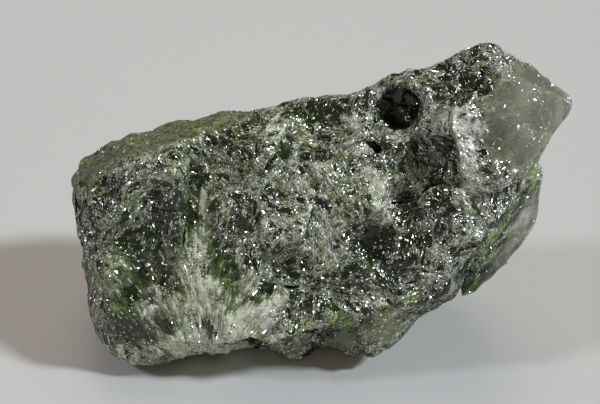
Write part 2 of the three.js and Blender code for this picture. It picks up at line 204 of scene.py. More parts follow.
# places on the broken side: along it from the middle of the piece, and up its slope from the table
along = points[:, 0]
up = points @ SIDE_UP
out = points @ SIDE_OUT
towards = normals @ SIDE_OUT


def smooth(value, start, end):
    """0 up to start, 1 from end, and a smooth rise between."""
    share = np.clip((value - start) / (end - start), 0, 1)
    return share * share * (3 - 2 * share)


def waves(places, size, layers=2):
    """Cloudy noise from -1 to 1 at the places, with patches of about that size."""
    return np.array([noise.fractal(Vector(place / size), 0.9, 2.1, layers) for place in places])


CLOUD_SIZE = 0.9
cloud = waves(points, CLOUD_SIZE, 3)
cloud_across = waves(points + 37.0, CLOUD_SIZE, 3)

PATCH_CORE = 0.5  # share of its reach where a patch is at its strongest
PATCH_END = 1.3  # and where it ends
MOST_RAGGED = 1.2


def patches(places, ragged=0.6):
    """Ragged patches of the broken side, each at a place along and up, with its reach along and across
    itself, its turn and its strength: the strongest at each point."""
    strongest = np.zeros(len(points))
    for x, y, reach, width, turn, strength in places:
        angle = math.radians(turn)
        shift = ragged * min(reach, width, MOST_RAGGED)
        aside = along - x + shift * cloud_across
        above = up - y + shift * cloud
        lengthwise = (aside * math.cos(angle) + above * math.sin(angle)) / reach
        crosswise = (above * math.cos(angle) - aside * math.sin(angle)) / width
        distance = np.hypot(lengthwise, crosswise)
        strongest = np.maximum(strongest, strength * (1 - smooth(distance, PATCH_CORE, PATCH_END)))
    return strongest


# the ridge between the broken side and the weathered strip at the upper left
RIDGE = ((-14.6, 7.9), (-12.4, 9.9), (-10.1, 10.6), (-8.6, 11.0), (-6.3, 11.7), (-4.7, 12.4), (-4.2, 14.0))
STRIP_END = -4.0  # along the piece
OLD_FROM = 13.2  # to the left of the middle, the old end begins
OLD_FULLY = 14.2
ridge = np.interp(along, *zip(*RIDGE)) + 0.25 * cloud
strip = smooth(up - ridge, -0.25, 0.15) * (along < STRIP_END)
left_end = smooth(-along + 0.5 * cloud, OLD_FROM, OLD_FULLY) * smooth(-towards, -0.7, -0.3)
broken = smooth(towards, -0.05, 0.25) * (1 - strip) * (1 - left_end)

# round the back, half of the rind has come off
FLAKED_SIZE = 3.2
weathering = waves(points + 11.0, FLAKED_SIZE, 4)
flaked = smooth(weathering, -0.12, 0.04) * smooth(-towards, -0.1, 0.2) * (1 - strip) * (1 - left_end)
flaked *= smooth(points[:, 1], -1.0, 1.5)
broken = np.maximum(broken, flaked)
rind = 1 - np.maximum(broken, left_end)

# where the broken side is milky and pale; a few patches are painted glints, and some paint light onto faces
# in shade
bright = patches(
    (
        (-7.6, 2.6, 4.2, 0.9, 93, 0.75),  # column of milky ribs, widening downwards
        (-7.1, 0.6, 2.2, 1.5, 90, 0.9),
        (-6.6, -1.3, 3.2, 1.3, 4, 1.0),
        (-4.5, 0.0, 0.8, 0.8, 0, 1.0),
        (-3.0, 0.2, 2.2, 1.0, 40, 0.85),
        (-3.9, 1.9, 1.6, 0.6, 40, 0.8),
        (-1.8, -1.2, 1.7, 0.8, 20, 0.6),
        (-11.4, 6.2, 0.6, 0.9, 20, 0.7),  # left of the step
        (-11.9, 8.4, 0.8, 0.4, 30, 0.35),
        (-9.4, 8.9, 1.1, 0.7, 20, 0.6),
        (-12.6, 3.3, 1.2, 0.3, -8, 0.6),
        # painted glints: a thin needle of bright light
        (-13.2, 3.9, 0.7, 0.14, -58, 1.0),
        (-10.0, -0.9, 1.6, 0.14, -52, 0.7),
        (-11.4, 0.6, 1.9, 0.12, -58, 0.6),
        (-10.0, -2.3, 3.4, 0.7, 2, 0.8),
        # painted light along the bottom rim, whose faces turn down into shade
        (-6.8, -2.4, 2.8, 0.8, 0, 2.0),
        (-9.3, 0.9, 2.8, 0.9, -62, 0.55),
        (-8.6, 3.0, 1.6, 0.5, -70, 0.6),
        (-4.6, 2.6, 1.0, 1.0, 0, 0.55),
        (-2.6, 4.8, 1.1, 0.9, 0, 0.6),
        (-7.0, 6.9, 1.1, 0.35, 100, 1.3),  # bright sliver
        (-5.9, 6.1, 1.6, 0.12, 84, 1.0),
        (-5.5, 6.0, 1.4, 0.10, 84, 0.9),
        (-2.9, 12.0, 1.4, 0.15, 50, 1.3),  # edge of the pale sliver, and the sliver
        (-2.6, 11.6, 1.0, 0.8, 60, 0.7),
        (-3.7, 9.6, 0.9, 0.35, 85, 0.9),
        (0.0, 6.8, 5.0, 4.6, 0, 0.20),  # middle
        (-1.2, 8.6, 1.5, 0.9, 0, 0.5),
        (-2.6, 5.6, 0.9, 0.5, -10, 0.7),
        (-0.3, 7.9, 1.1, 0.12, -50, 1.0),
        (0.9, 9.2, 1.2, 0.9, 0, 0.45),
        (0.6, 5.6, 1.6, 1.4, 0, 0.45),
        (2.6, 12.6, 1.7, 0.4, 15, 0.45),
        (3.0, 10.6, 0.9, 0.5, 0, 0.7),
        (3.4, 8.7, 0.7, 1.0, 0, 0.75),
        (4.2, 7.1, 1.4, 0.8, 85, 0.95),
        (2.2, 3.8, 1.4, 0.5, -20, 0.5),
        # the pale ledge: pale stone, with painted light where it lies in shade
        (8.6, 12.2, 2.2, 0.85, -6, 1.25),  # pale ledge
        (9.7, 9.8, 2.3, 0.75, 86, 0.72),
        (9.8, 8.2, 0.9, 0.7, 0, 0.9),
        # painted glints along the upper rim of the tip
        (12.3, 14.7, 0.9, 0.25, 5, 1.1),
        (9.9, 5.0, 1.0, 0.7, 0, 0.35),  # shoulder
        (7.0, 3.6, 1.4, 0.7, 20, 0.3),
        (12.9, 5.6, 1.6, 1.2, 70, 0.4),
        (3.2, 0.9, 1.6, 0.6, 10, 0.6),
        (5.2, -0.4, 1.0, 0.5, 20, 0.5),
    )
)

# where one sees into clear, dark stone, and painted shade in the alcove left of the ledge
dark = patches(
    (
        (-9.9, 6.4, 1.4, 2.0, 0, 0.65),  # left of the step
        (-11.8, 6.8, 2.6, 2.4, 0, 0.42),
        (-12.4, 8.4, 1.4, 0.8, 20, 0.55),
        (-11.9, 4.6, 1.4, 1.0, -30, 0.45),
        (-7.7, 8.8, 0.6, 0.9, 0, 0.6),  # beside the step
        (-5.8, 10.6, 1.6, 1.1, 20, 0.75),  # under the end of the strip
        (-4.5, 11.7, 1.3, 0.9, 20, 0.55),
        (-2.4, 7.2, 1.2, 0.9, 0, 0.4),
        (-8.6, 10.2, 1.2, 0.5, 15, 0.5),
        (-4.7, 6.1, 1.3, 1.3, 0, 0.55),
        (-5.5, 2.5, 0.7, 0.9, 0, 0.4),
        (-1.7, 3.1, 1.1, 0.7, 0, 0.6),
        (-2.8, 1.5, 0.7, 0.7, 0, 0.55),
        (-1.9, 10.6, 0.5, 0.4, 0, 0.6),
        (0.6, 11.2, 1.0, 0.9, 0, 0.8),
        (1.4, 12.2, 0.4, 0.3, 0, 0.7),
        (0.1, 9.9, 1.5, 0.2, 5, 0.6),
        (0.5, 7.0, 0.6, 0.4, -20, 1.0),
        (4.6, 9.8, 1.8, 0.9, 0, 0.7),
        # painted shade in the alcove, a hollow in shadow, over dark stone
        (7.3, 10.2, 1.8, 0.9, -10, 0.7),  # alcove left of the ledge
        (2.2, 4.7, 1.0, 0.8, 0, 0.3),
        (5.8, 6.6, 1.0, 1.1, 0, 1.1),
        (7.9, 7.8, 0.8, 1.0, 0, 0.7),
        (8.6, 6.4, 0.9, 0.6, 0, 0.6),
        (4.0, 4.6, 1.1, 1.3, 0, 1.15),
        (3.9, 4.2, 3.0, 1.7, -15, 0.5),
        (1.7, 1.8, 2.0, 1.1, 0, 0.6),
        (2.1, 2.4, 1.2, 1.0, 0, 0.85),
        (4.8, 2.8, 1.5, 0.9, 0, 0.75),
        (6.8, 4.6, 1.5, 1.3, 0, 0.35),
        (11.8, 9.5, 0.6, 0.6, 0, 0.9),
        (11.6, 12.7, 0.9, 0.3, -20, 0.5),
        (9.4, 14.7, 2.2, 1.3, 30, 0.9),  # summit
        (0.4, 13.0, 4.6, 0.6, 7, 0.4),  # top edge
        (12.6, 3.6, 0.9, 0.6, 50, 0.5),
        (-10.8, 2.6, 1.5, 1.0, -20, 0.45),
        (1.3, -1.8, 1.6, 0.9, 15, 0.8),  # hollow at the foot
    )
)
dark = np.maximum(dark, 0.35 * flaked)

pit = patches(((5.35, 13.1, 1.45, 1.4, 0, 1.0),), 0.12)  # a round hole near the top
# painted light: lime green where light shines through thin chips
lime = patches(
    (
        (13.7, 8.8, 0.5, 1.0, 0, 1.0),
        (11.4, 4.9, 1.6, 0.25, 56, 0.8),
        (14.7, 11.2, 0.8, 0.2, 50, 0.6),
        (1.7, -0.5, 1.0, 0.6, -35, 1.2),
        (6.0, 1.1, 0.8, 0.45, 0, 0.9),
        (-2.5, -2.4, 0.7, 0.3, -30, 0.8),
        (10.0, 1.6, 0.9, 0.3, 40, 0.6),
        (-5.5, 2.5, 0.6, 0.9, 0, 0.45),
        (-1.2, 11.9, 0.4, 0.7, 10, 0.6),
        (-2.0, 10.6, 0.5, 0.3, 0, 0.5),
        (3.2, 2.9, 0.4, 0.6, 20, 0.4),
    )
)

# clear zones: the tip, the thin lobe behind the grey band, and the foot under the middle
TIP = np.array((13.6, 2.4, 13.8))
TIP_SHAPE = (1.0, 1.8, 1.0)
TIP_CORE = 1.8
TIP_END = 4.4
from_tip = np.linalg.norm((points - TIP) / TIP_SHAPE, axis=1) + 0.7 * cloud
tip = 1 - smooth(from_tip, TIP_CORE, TIP_END)
lobe = smooth(along - 0.55 * (up - 5.0), 11.6, 12.8) * (1 - smooth(up, 7.6, 8.6))
foot = patches(((4.3, -0.9, 1.8, 1.3, 20, 0.6), (1.6, -2.0, 1.6, 0.9, 10, 0.7)))
clear = np.maximum(np.maximum(tip, 0.5 * lobe), foot)
# painted light: the tip is paler towards its end, on faces turned up, and on the lobe
tip_light = smooth(along + 0.5 * cloud, 10.4, 14.6) + 0.8 * smooth(normals[:, 2], 0.6, 0.9) + 0.5 * lobe

# the grains of the lower left fan out from a point below its foot: there a place is given by how far round,
# how far out and how deep it is, which draws the grains out into splinters
FAN_FOOT = (-6.8, -4.6)
FAN_TURN = 6.0  # millimetres to a radian
FAN_LENGTH = 2.4  # of a splinter, to its width
FAN_DEPTH = 1.5  # and its depth
BAND_WAY = math.radians(51)  # of the streaks of the grey band at the lower right
BAND_LENGTH = 4.0
fan = patches(((-7.8, 0.8, 6.6, 4.6, 0, 1.0), (-7.4, 5.0, 4.0, 1.2, 90, 1.0)), 0.9) * broken
crosswise = along * math.sin(BAND_WAY) - up * math.cos(BAND_WAY)
lengthwise = along * math.cos(BAND_WAY) + up * math.sin(BAND_WAY)
band = smooth(crosswise + 0.2 * cloud, 5.0, 5.4) * broken * (1 - smooth(up, 8.0, 8.6))

round_fan = np.arctan2(along - FAN_FOOT[0], up - FAN_FOOT[1]) * FAN_TURN
along_fan = np.hypot(along - FAN_FOOT[0], up - FAN_FOOT[1]) / FAN_LENGTH
fanned = np.stack((round_fan, along_fan, out / FAN_DEPTH), axis=1)
banded = np.stack((crosswise, lengthwise / BAND_LENGTH, out), axis=1)
places = np.where((fan > 0.5)[:, None], fanned, np.where((band > 0.5)[:, None], banded, points))


SCRAMBLE = np.array((127.1, 311.7, 74.7))  # large, unrelated numbers that mix a cell's place up
SCRAMBLE_SALT = 53.9
SCRAMBLE_SPREAD = 43758.5453


def random_of(cells, salt):
    """A number from 0 to 1 for each cell of space, the same each time."""
    value = np.sin(cells @ SCRAMBLE + SCRAMBLE_SALT * salt) * SCRAMBLE_SPREAD
    return value - np.floor(value)


GRAIN_STEEPNESS = 1.4
FACET_BEND = 0.25


def grains(size, salt, roundness=0.45):
    """How far grains of that size stand out at each point, from 0 between them to 1 at their corners, and
    each grain's own shade from 0 to 1."""
    home = np.floor(places / size)
    height = np.zeros(len(places))
    shade = np.zeros(len(places))
    for step in itertools.product((-1, 0, 1), repeat=3):
        cell = home + np.array(step)
        chance = np.stack([random_of(cell, salt + k) for k in range(13)], axis=1)
        away = places / size - cell - chance[:, :3]
        span = roundness * np.linalg.norm(away, axis=1)
        for k in (3, 6, 9):
            face = chance[:, k : k + 3] - 0.5
            face /= np.linalg.norm(face, axis=1, keepdims=True) + 1e-9
            span = np.maximum(span, np.abs(np.sum(away * face, axis=1)))
        top = 1 - GRAIN_STEEPNESS * span
        stands = top > height
        height[stands] = top[stands]
        shade[stands] = chance[stands, 12]
    return height, shade


def facets(size, salt):
    """The height, from -1 to 1, of a broken surface whose flat faces are about that size."""
    turn = np.linalg.qr(np.random.default_rng(salt).normal(size=(3, 3)))[0]
    spot = places @ turn / size + FACET_BEND * cloud[:, None]
    corner = np.floor(spot)
    share = spot - corner
    level = random_of(corner, salt)
    height = level.copy()
    for axis in np.argsort(-share, axis=1).T:
        step = np.eye(3)[axis]
        corner = corner + step
        following = random_of(corner, salt)
        height += np.sum(share * step, axis=1) * (following - level)
        level = following
    return 2 * height - 1


# narrow clefts in the fan are closed by milky fibres: the surface is brought up to the level of both edges.
# The other small hollows of the broken side are filled for the most part, all but the pit.
CLEFT_CELL = 0.16
CLEFT_REACH = 5  # cells
CLEFT_DEPTH = 2.5  # deepest that is closed
HOLLOW_DEPTH = 1.2  # deepest that is filled, by a share
HOLLOW_FILLED = 0.7
CLEFT_LEFT = 0.06  # depth that stays
across_cell = np.floor((along - along.min()) / CLEFT_CELL).astype(int)
up_cell = np.floor((up - up.min()) / CLEFT_CELL).astype(int)
level = np.full((across_cell.max() + 1, up_cell.max() + 1), -99.0)
np.maximum.at(level, (across_cell, up_cell), out)
shifts = list(itertools.product(range(-CLEFT_REACH, CLEFT_REACH + 1), repeat=2))
widened = np.max([np.roll(level, shift, (0, 1)) for shift in shifts], axis=0)
closed = np.min([np.roll(widened, shift, (0, 1)) for shift in shifts], axis=0)
gap = closed[across_cell, up_cell] - out
cleft = patches(((-7.2, 0.8, 5.2, 2.2, 90, 1.0),)) * (gap < CLEFT_DEPTH) * smooth(towards, -0.9, -0.6)
filled = np.maximum(smooth(cleft, 0.2, 0.6), HOLLOW_FILLED * broken * (gap < HOLLOW_DEPTH) * (1 - pit))
lift = (filled * np.clip(gap - CLEFT_LEFT, 0, None))[:, None] * SIDE_OUT

# sizes and heights of the relief
CHIP, CHIP_HEIGHT = 0.95, 0.08
CRACK, CRACK_HEIGHT = 0.5, 0.07
SPLINTER, SPLINTER_HEIGHT = 0.27, 0.035
MIDDLE_GRAIN, MIDDLE_HEIGHT = 0.6, 0.10
SMALL_GRAIN, SMALL_HEIGHT = 0.32, 0.07
GRAIN_LEVEL = 0.45  # of the surface, between the depth and the top of the grains
RIND_WAVE, RIND_HEIGHT = 0.8, 0.05
WINDOW_DEPTH = 0.18
PIT_DEPTH = 0.15
RESTING = 0.05  # what is lower than this stays flat on the table

chips = CHIP_HEIGHT * facets(CHIP, 4) + CRACK_HEIGHT * facets(CRACK, 5)
chips += SPLINTER_HEIGHT * facets(SPLINTER, 6)
middle, middle_shade = grains(MIDDLE_GRAIN, 20)
small, small_shade = grains(SMALL_GRAIN, 40)

# how pale each point of the broken side is: milky and finely broken, or a clear dark window
pale = 0.30 * (middle_shade - 0.5) + 0.20 * (small_shade - 0.5)
frosty = smooth(0.5 + 0.5 * bright - 0.6 * dark + pale, 0.3, 0.65) * (1 - clear)

grainy = broken * (1 - clear) * (1 - 0.9 * pit)
height = (grainy + 0.8 * rind + 0.8 * flaked) * chips
height += MIDDLE_HEIGHT * (grainy * frosty + 0.4 * rind) * (middle - GRAIN_LEVEL)
height += SMALL_HEIGHT * (grainy * frosty + 0.6 * rind + 0.2 * clear) * (small - GRAIN_LEVEL)
height -= WINDOW_DEPTH * dark * broken + PIT_DEPTH * smooth(pit, 0.1, 0.9)
height += RIND_HEIGHT * rind * waves(points, RIND_WAVE)

# the skin stays inside the solid's box, and flat on the table
raised = points + lift + normals * height[:, None]
raised = np.clip(raised, np.array(low) / MM, np.array(high) / MM)
resting = points[:, 2] < RESTING
raised[resting] = points[resting]
mesh.vertices.foreach_set("co", (raised * MM).ravel())
mesh.update()


FINE_EDGE = 0.05  # height of a sharp fine edge over its surroundings
WIDE_EDGE = 0.12


def sharpness(rounds, full):
    """How far each point stands out from its surroundings: 1 on sharp edges, and -1 in crevices."""
    normals = values_of(mesh.vertices, "normal", 3)
    return np.clip(np.sum((raised - evened(raised, rounds)) * normals, axis=1) / full, -1, 1)


# the stone is painted lighter along sharp edges and darker in crevices from this: a painted highlight and
# painted shade
edges = sharpness(2, FINE_EDGE) + sharpness(6, WIDE_EDGE)

# what the material reads from the mesh
masks = {
    "pale": pale,
    "bright": bright,
    "dark": dark,
    "broken": broken,
    "clear": clear,
    "lime": lime,
    "left_end": left_end,
    "grainy": grainy,
    "edges": edges,
    "fan": fan,
    "band": band,
    "pit": pit,
    "foot": foot,
    "tip_light": tip_light,
}
for name, value in masks.items():
    mesh.attributes.new(name, "FLOAT", "POINT").data.foreach_set("value", value)

# the grain has flat faces, and the glassy parts are smooth
GLASSY_FROM = 0.4
bpy.ops.object.shade_flat()
corners = values_of(mesh.loops, "vertex_index", 1).astype(int).reshape(-1, 3)
mesh.polygons.foreach_set("use_smooth", (np.maximum(clear, pit) > GLASSY_FROM)[corners].all(axis=1))


class Value:
    """A socket of a shader, on which sums can be written."""

    def __init__(self, tree, socket):
        self.tree = tree
        self.socket = socket

    def maths(self, operation, first, second):
        return self.tree.add("ShaderNodeMath", {"operation": operation}, {0: first, 1: second})

    def __add__(self, other):
        return self.maths("ADD", self, other)

    __radd__ = __add__

    def __sub__(self, other):
        return self.maths("SUBTRACT", self, other)

    def __rsub__(self, other):
        return self.maths("SUBTRACT", other, self)

    def __mul__(self, other):
        return self.maths("MULTIPLY", self, other)

    __rmul__ = __mul__

    def __truediv__(self, other):
        return self.maths("DIVIDE", self, other)

    def __pow__(self, other):
        return self.maths("POWER", self, other)


class Shader:
    """The nodes of a material or of the world."""

    def __init__(self, owner):
        owner.use_nodes = True
        self.nodes = owner.node_tree.nodes
        self.links = owner.node_tree.links
        self.nodes.clear()

    def add(self, kind, settings, sockets, output=0):
        """A new node: its settings, then the values and links of its sockets. Gives one output."""
        made = self.nodes.new(kind)
        for name, value in settings.items():
            if name == "stops":
                ramp = made.color_ramp
                while len(ramp.elements) < len(value):
                    ramp.elements.new(0.5)
                for element, (position, colour) in zip(ramp.elements, value):
                    element.position = position
                    element.color = colour
            else:
                setattr(made, name, value)
        for name, value in sockets.items():
            if isinstance(value, Value):
                self.links.new(value.socket, made.inputs[name])
            else:
                made.inputs[name].default_value = value
        return Value(self, made.outputs[output]) if made.outputs else None

    def mix(self, share, first, second):
        """A colour between the first and the second."""
        sockets = {"Factor": share, 6: first, 7: second}
        return self.add("ShaderNodeMix", {"data_type": "RGBA"}, sockets, 2)

    def rise(self, value, start, end, low=0.0, high=1.0):
        """A smooth rise from low at start to high at end."""
        sockets = {"Value": value, "From Min": start, "From Max": end, "To Min": low, "To Max": high}
        return self.add("ShaderNodeMapRange", {"interpolation_type": "SMOOTHSTEP"}, sockets)

    def vectors(self, operation, sockets):
        """A sum of vectors."""
        return self.add("ShaderNodeVectorMath", {"operation": operation}, sockets)

    def principled(self, sockets):
        """A surface: stone, metal, glass or paint."""
        return self.add("ShaderNodeBsdfPrincipled", {}, sockets)


def rgb(red, green, blue):
    """A colour, the way that Blender's sockets take it."""
    return (red, green, blue, 1.0)


diopside = bpy.data.materials.new("diopside")
stone = Shader(diopside)
place = stone.add("ShaderNodeTexCoord", {}, {}, "Object")
mask = {name: stone.add("ShaderNodeAttribute", {"attribute_name": name}, {}, "Fac") for name in masks}


def measured(way):
    """How far a point of the stone lies along a direction, in millimetres."""
    sockets = {0: place, 1: way / MM}
    return stone.add("ShaderNodeVectorMath", {"operation": "DOT_PRODUCT"}, sockets, "Value")


def calculated(operation, *values):
    """A sum that has no operator of its own."""
    return stone.add("ShaderNodeMath", {"operation": operation}, dict(enumerate(values)))


def joined(x, y, z):
    """A place from its three measures."""
    return stone.add("ShaderNodeCombineXYZ", {}, {"X": x, "Y": y, "Z": z})


def chosen(share, first, second):
    """The first vector or the second."""
    sockets = {"Factor": stone.rise(share, 0.45, 0.55), 4: first, 5: second}
    return stone.add("ShaderNodeMix", {"data_type": "VECTOR"}, sockets, 1)


right = measured(np.array((1.0, 0.0, 0.0)))
upward = measured(SIDE_UP)
depth = measured(SIDE_OUT)
from_foot = right - FAN_FOOT[0]
over_foot = upward - FAN_FOOT[1]
turned = FAN_TURN * calculated("ARCTAN2", from_foot, over_foot)
radius = (from_foot * from_foot + over_foot * over_foot) ** 0.5
fan_place = joined(turned, radius / FAN_LENGTH, depth / FAN_DEPTH)
across_band = math.sin(BAND_WAY) * right - math.cos(BAND_WAY) * upward
along_band = math.cos(BAND_WAY) * right + math.sin(BAND_WAY) * upward
band_place = joined(across_band, along_band / BAND_LENGTH, depth)
plain_place = stone.vectors("SCALE", {0: place, "Scale": 1 / MM})


def warped(vector, size, reach):
    """The place, pushed about by a noise."""
    push = stone.add("ShaderNodeTexNoise", {}, {"Vector": vector, "Scale": 1 / size, "Detail": 2.0}, "Color")
    push = stone.vectors("SUBTRACT", {0: push, 1: (0.5, 0.5, 0.5)})
    return stone.vectors("ADD", {0: vector, 1: stone.vectors("SCALE", {0: push, "Scale": reach})})


def channel(colour, number):
    """One channel of a colour: 0 to 2 for red, green and blue."""
    return stone.add("ShaderNodeSeparateColor", {}, {"Color": colour}, number)


# the broken side is made of crystals, each with its own tone and the way that its fibres run
CRYSTAL = 2.2
ALONG_FIBRE = 0.55  # scale of the places along the fibres
ACROSS_FIBRE = 1.15  # and across them
jagged_place = warped(plain_place, size=0.8, reach=1.2)
crystals = stone.add("ShaderNodeTexVoronoi", {}, {"Vector": jagged_place, "Scale": 1 / CRYSTAL}, "Color")
crystal_tone = channel(crystals, 0)
fibre_way = math.pi * channel(crystals, 1)
fibre_cosine = calculated("COSINE", fibre_way)
fibre_sine = calculated("SINE", fibre_way)
along_fibre = right * fibre_cosine + upward * fibre_sine
across_fibre = upward * fibre_cosine - right * fibre_sine
fibre_place = joined(along_fibre * ALONG_FIBRE, across_fibre * ACROSS_FIBRE, depth)
grain_place = chosen(mask["fan"], chosen(mask["band"], fibre_place, band_place), fan_place)


def stone_noise(size, detail, roughness, vector=grain_place):
    """Noise from 0 to 1 with patches of about that size, drawn out the way that the grain runs."""
    sockets = {"Vector": vector, "Scale": 1 / size, "Detail": detail, "Roughness": roughness}
    return stone.add("ShaderNodeTexNoise", {}, sockets, "Fac")


wandering = warped(grain_place, size=0.35, reach=0.3)


def stone_cells(size, output, feature="F1"):
    """Grains of about that size."""
    sockets = {"Vector": wandering, "Scale": 1 / size}
    return stone.add("ShaderNodeTexVoronoi", {"feature": feature}, sockets, output)


def shade_of_cells(size):
    """Each grain's own shade, from 0 to 1."""
    return channel(stone_cells(size, "Color"), 0)


# sizes of the grains and clouds of colour
SUGAR = 0.085
GRAIN = 0.34
LUMP = 0.75
SPECKLE = 0.075
FLECK = 0.26
RAGGED = 0.55
CLOUDY = 0.9
CLUSTER = 1.5
HUE = 2.4
GRAIN_HUE = 0.45

sugar = shade_of_cells(SUGAR)
grain = shade_of_cells(GRAIN)
lump = shade_of_cells(LUMP)
speckle = stone_noise(SPECKLE, 1.0, 0.5, chosen(mask["fan"], fibre_place, plain_place))
flecks = stone_noise(FLECK, 3.0, 0.65, plain_place)
ragged = stone_noise(RAGGED, 4.0, 0.60)
cloudy = stone_noise(CLOUDY, 5.0, 0.6)
cluster = stone_noise(CLUSTER, 2.0, 0.5, plain_place)
hue = stone_noise(HUE, 2.0, 0.5, plain_place)
grain_hue = stone_noise(GRAIN_HUE, 2.0, 0.6)


def line_along(pattern, width):
    """1 along the winding lines where a noise is at its middle, 0 away from them."""
    return 1 - stone.rise(calculated("ABSOLUTE", pattern - 0.5), 0.0, width)


# the broken side: clear dark windows with sharp borders and a few veins, set in a pale crust that is full of
# cracks, painted with glints along them, and gets milky in places
PANE = 0.80  # size of a window's parts
PANE_EDGE = 0.15
STREAK = 0.26
STREAK_LENGTH = 7.0  # to its width
CRACKING = 0.26
MILK_FIBRE = 0.24
broken_up = 0.3 * (grain - 0.5) + 0.7 * (lump - 0.5)
inner = stone_cells(PANE, "Distance", "DISTANCE_TO_EDGE")
seen_into = 0.9 * mask["dark"] - 0.4 * mask["bright"] + 2.4 * (ragged - 0.5) + 0.9 * broken_up
seen_into = seen_into + 2.6 * (inner - PANE_EDGE) * (1 - mask["fan"]) + 1.6 * (cluster - 0.5)
seen_into = seen_into + 0.5 * (crystal_tone - 0.5)
crust = stone.rise(seen_into, -0.8, 0.30, 0.80, 0.42)
window = stone.rise(seen_into, 0.13, 0.18)
rim = stone.rise(seen_into, -0.05, 0.07) * (1 - stone.rise(seen_into, 0.15, 0.35))
milk = stone.rise(mask["bright"] + 1.6 * (cloudy - 0.5) - 0.6 * broken_up, 0.15, 1.0)
long_place = joined(turned, radius / STREAK_LENGTH, depth / FAN_DEPTH)
streak = stone.rise(stone_noise(STREAK, 3.0, 0.6, long_place), 0.58, 0.66) * mask["fan"]
cracking = stone_noise(CRACKING, 3.0, 0.65, fibre_place)
# painted glints: thin white lines along the cracks, with darker borders
crack_glints = (2 * line_along(cracking, 0.03) - line_along(cracking, 0.10)) * mask["grainy"]
crack_glints = crack_glints * stone.rise(cluster, 0.38, 0.55)
veins = line_along(cracking - 0.07, 0.03)
fibres = stone.rise(stone_noise(MILK_FIBRE, 4.0, 0.65), 0.38, 0.60)

# its shade, from 0 for the darkest window to 1 for the whitest crack and painted glint
calm = (1 - 0.8 * mask["fan"] * (1 - milk)) * (1 - 0.6 * mask["band"])
shade = crust + milk * (0.04 + 0.30 * fibres) - 0.08 * mask["dark"] + 0.08 * mask["pale"]
# painted highlight on sharp edges and painted shade in crevices, through the edges
shade = shade + 0.10 * mask["edges"] + 0.10 * (lump - 0.5) + 0.12 * (grain - 0.5)
shade = shade + 0.50 * streak - 0.14 * mask["fan"] * (1 - milk) - 0.10 * mask["band"]
# the strongest patches, along the bottom rim and on the pale ledge, are lifted further: painted light on
# faces in shade
shade = shade + 0.10 * stone.rise(mask["bright"], 0.75, 1.1) + 0.16 * stone.rise(mask["bright"], 1.1, 1.6)
# the brightest specks of the speckle are painted glints, as are the crack lines
fine = 0.30 * (sugar - 0.5) + 1.1 * (speckle - 0.5) + 0.45 * crack_glints + 0.6 * stone.rise(speckle, 0.60, 0.76)
shade = shade + fine * calm * (1 - 0.75 * window) - (0.39 - 0.34 * veins) * window

# its colours from dark to pale, in greener and in greyer stone
greens = (
    (0.04, rgb(0.006, 0.016, 0.001)),
    (0.25, rgb(0.017, 0.037, 0.004)),
    (0.45, rgb(0.060, 0.088, 0.026)),
    (0.62, rgb(0.138, 0.170, 0.074)),
    (0.82, rgb(0.330, 0.365, 0.215)),
    (1.00, rgb(0.700, 0.720, 0.560)),
)
greys = (
    (0.04, rgb(0.009, 0.013, 0.004)),
    (0.25, rgb(0.028, 0.034, 0.015)),
    (0.45, rgb(0.084, 0.087, 0.062)),
    (0.62, rgb(0.166, 0.167, 0.144)),
    (0.82, rgb(0.360, 0.362, 0.325)),
    (1.00, rgb(0.740, 0.742, 0.700)),
)
green = stone.add("ShaderNodeValToRGB", {"stops": greens}, {"Fac": shade})
grey = stone.add("ShaderNodeValToRGB", {"stops": greys}, {"Fac": shade})
greyness = hue + 0.010 * right + 1.2 * (grain_hue - 0.5)
broken_colour = stone.mix(stone.rise(greyness, 0.37, 0.82), green, grey)

# the olive rind, mottled, and the slate of the left end
OLIVE = rgb(0.165, 0.190, 0.056)
DARK_OLIVE = rgb(0.014, 0.018, 0.006)
SLATE = rgb(0.085, 0.090, 0.070)
mottled = 0.5 + 0.5 * (cloudy - 0.5) + 0.6 * (ragged - 0.5) + 1.7 * (flecks - 0.5) + 1.5 * (speckle - 0.5)
# the rind and the left end get a painted highlight on their edges and painted shade in their crevices
mottled = mottled + 0.4 * (sugar - 0.5) + 0.12 * mask["edges"]
rind_colour = stone.mix(stone.rise(mottled, 0.36, 0.62), DARK_OLIVE, OLIVE)
end_colour = stone.mix(stone.rise(mottled, 0.35, 0.65), DARK_OLIVE, SLATE)
colour = stone.mix(mask["broken"], rind_colour, broken_colour)

# the round pit, nearly black: dark green stone, and painted shade in the hole
PIT_GREEN = rgb(0.004, 0.010, 0.002)
hole = stone.rise(mask["pit"] + 0.5 * (ragged - 0.5), 0.40, 0.50)
colour = stone.mix(hole, colour, PIT_GREEN)
colour = stone.mix(mask["left_end"], colour, end_colour)

# the glassy tip, lobe and foot, with faint scratches and fibres along the grey band; the tip's olive runs
# between shaded and lit copies by its painted light
TIP_SHADE = rgb(0.200, 0.215, 0.130)
TIP_LIT_OLIVE = rgb(0.430, 0.430, 0.330)
FOOT_OLIVE = rgb(0.250, 0.250, 0.130)
SCRATCH = 0.35
SCRATCH_WIDTH = 1.5
SCRATCH_LENGTH = 6.0
FIBRE = 0.14
FIBRE_STRETCH = 5.0
scratches = joined(across_band / SCRATCH_WIDTH, along_band / SCRATCH_LENGTH, depth)
scratched = stone_noise(SCRATCH, 3.0, 0.6, scratches)
fibred = stone_noise(FIBRE, 3.0, 0.6, joined(across_band, along_band / FIBRE_STRETCH, depth))
glass_light = mask["tip_light"] + 0.9 * (scratched - 0.5) + 1.1 * (fibred - 0.5) - 0.3 * (1 - mask["clear"])
glass_colour = stone.mix(glass_light, TIP_SHADE, TIP_LIT_OLIVE)
glass_colour = stone.mix(stone.rise(mask["foot"], 0.2, 0.5), glass_colour, FOOT_OLIVE)
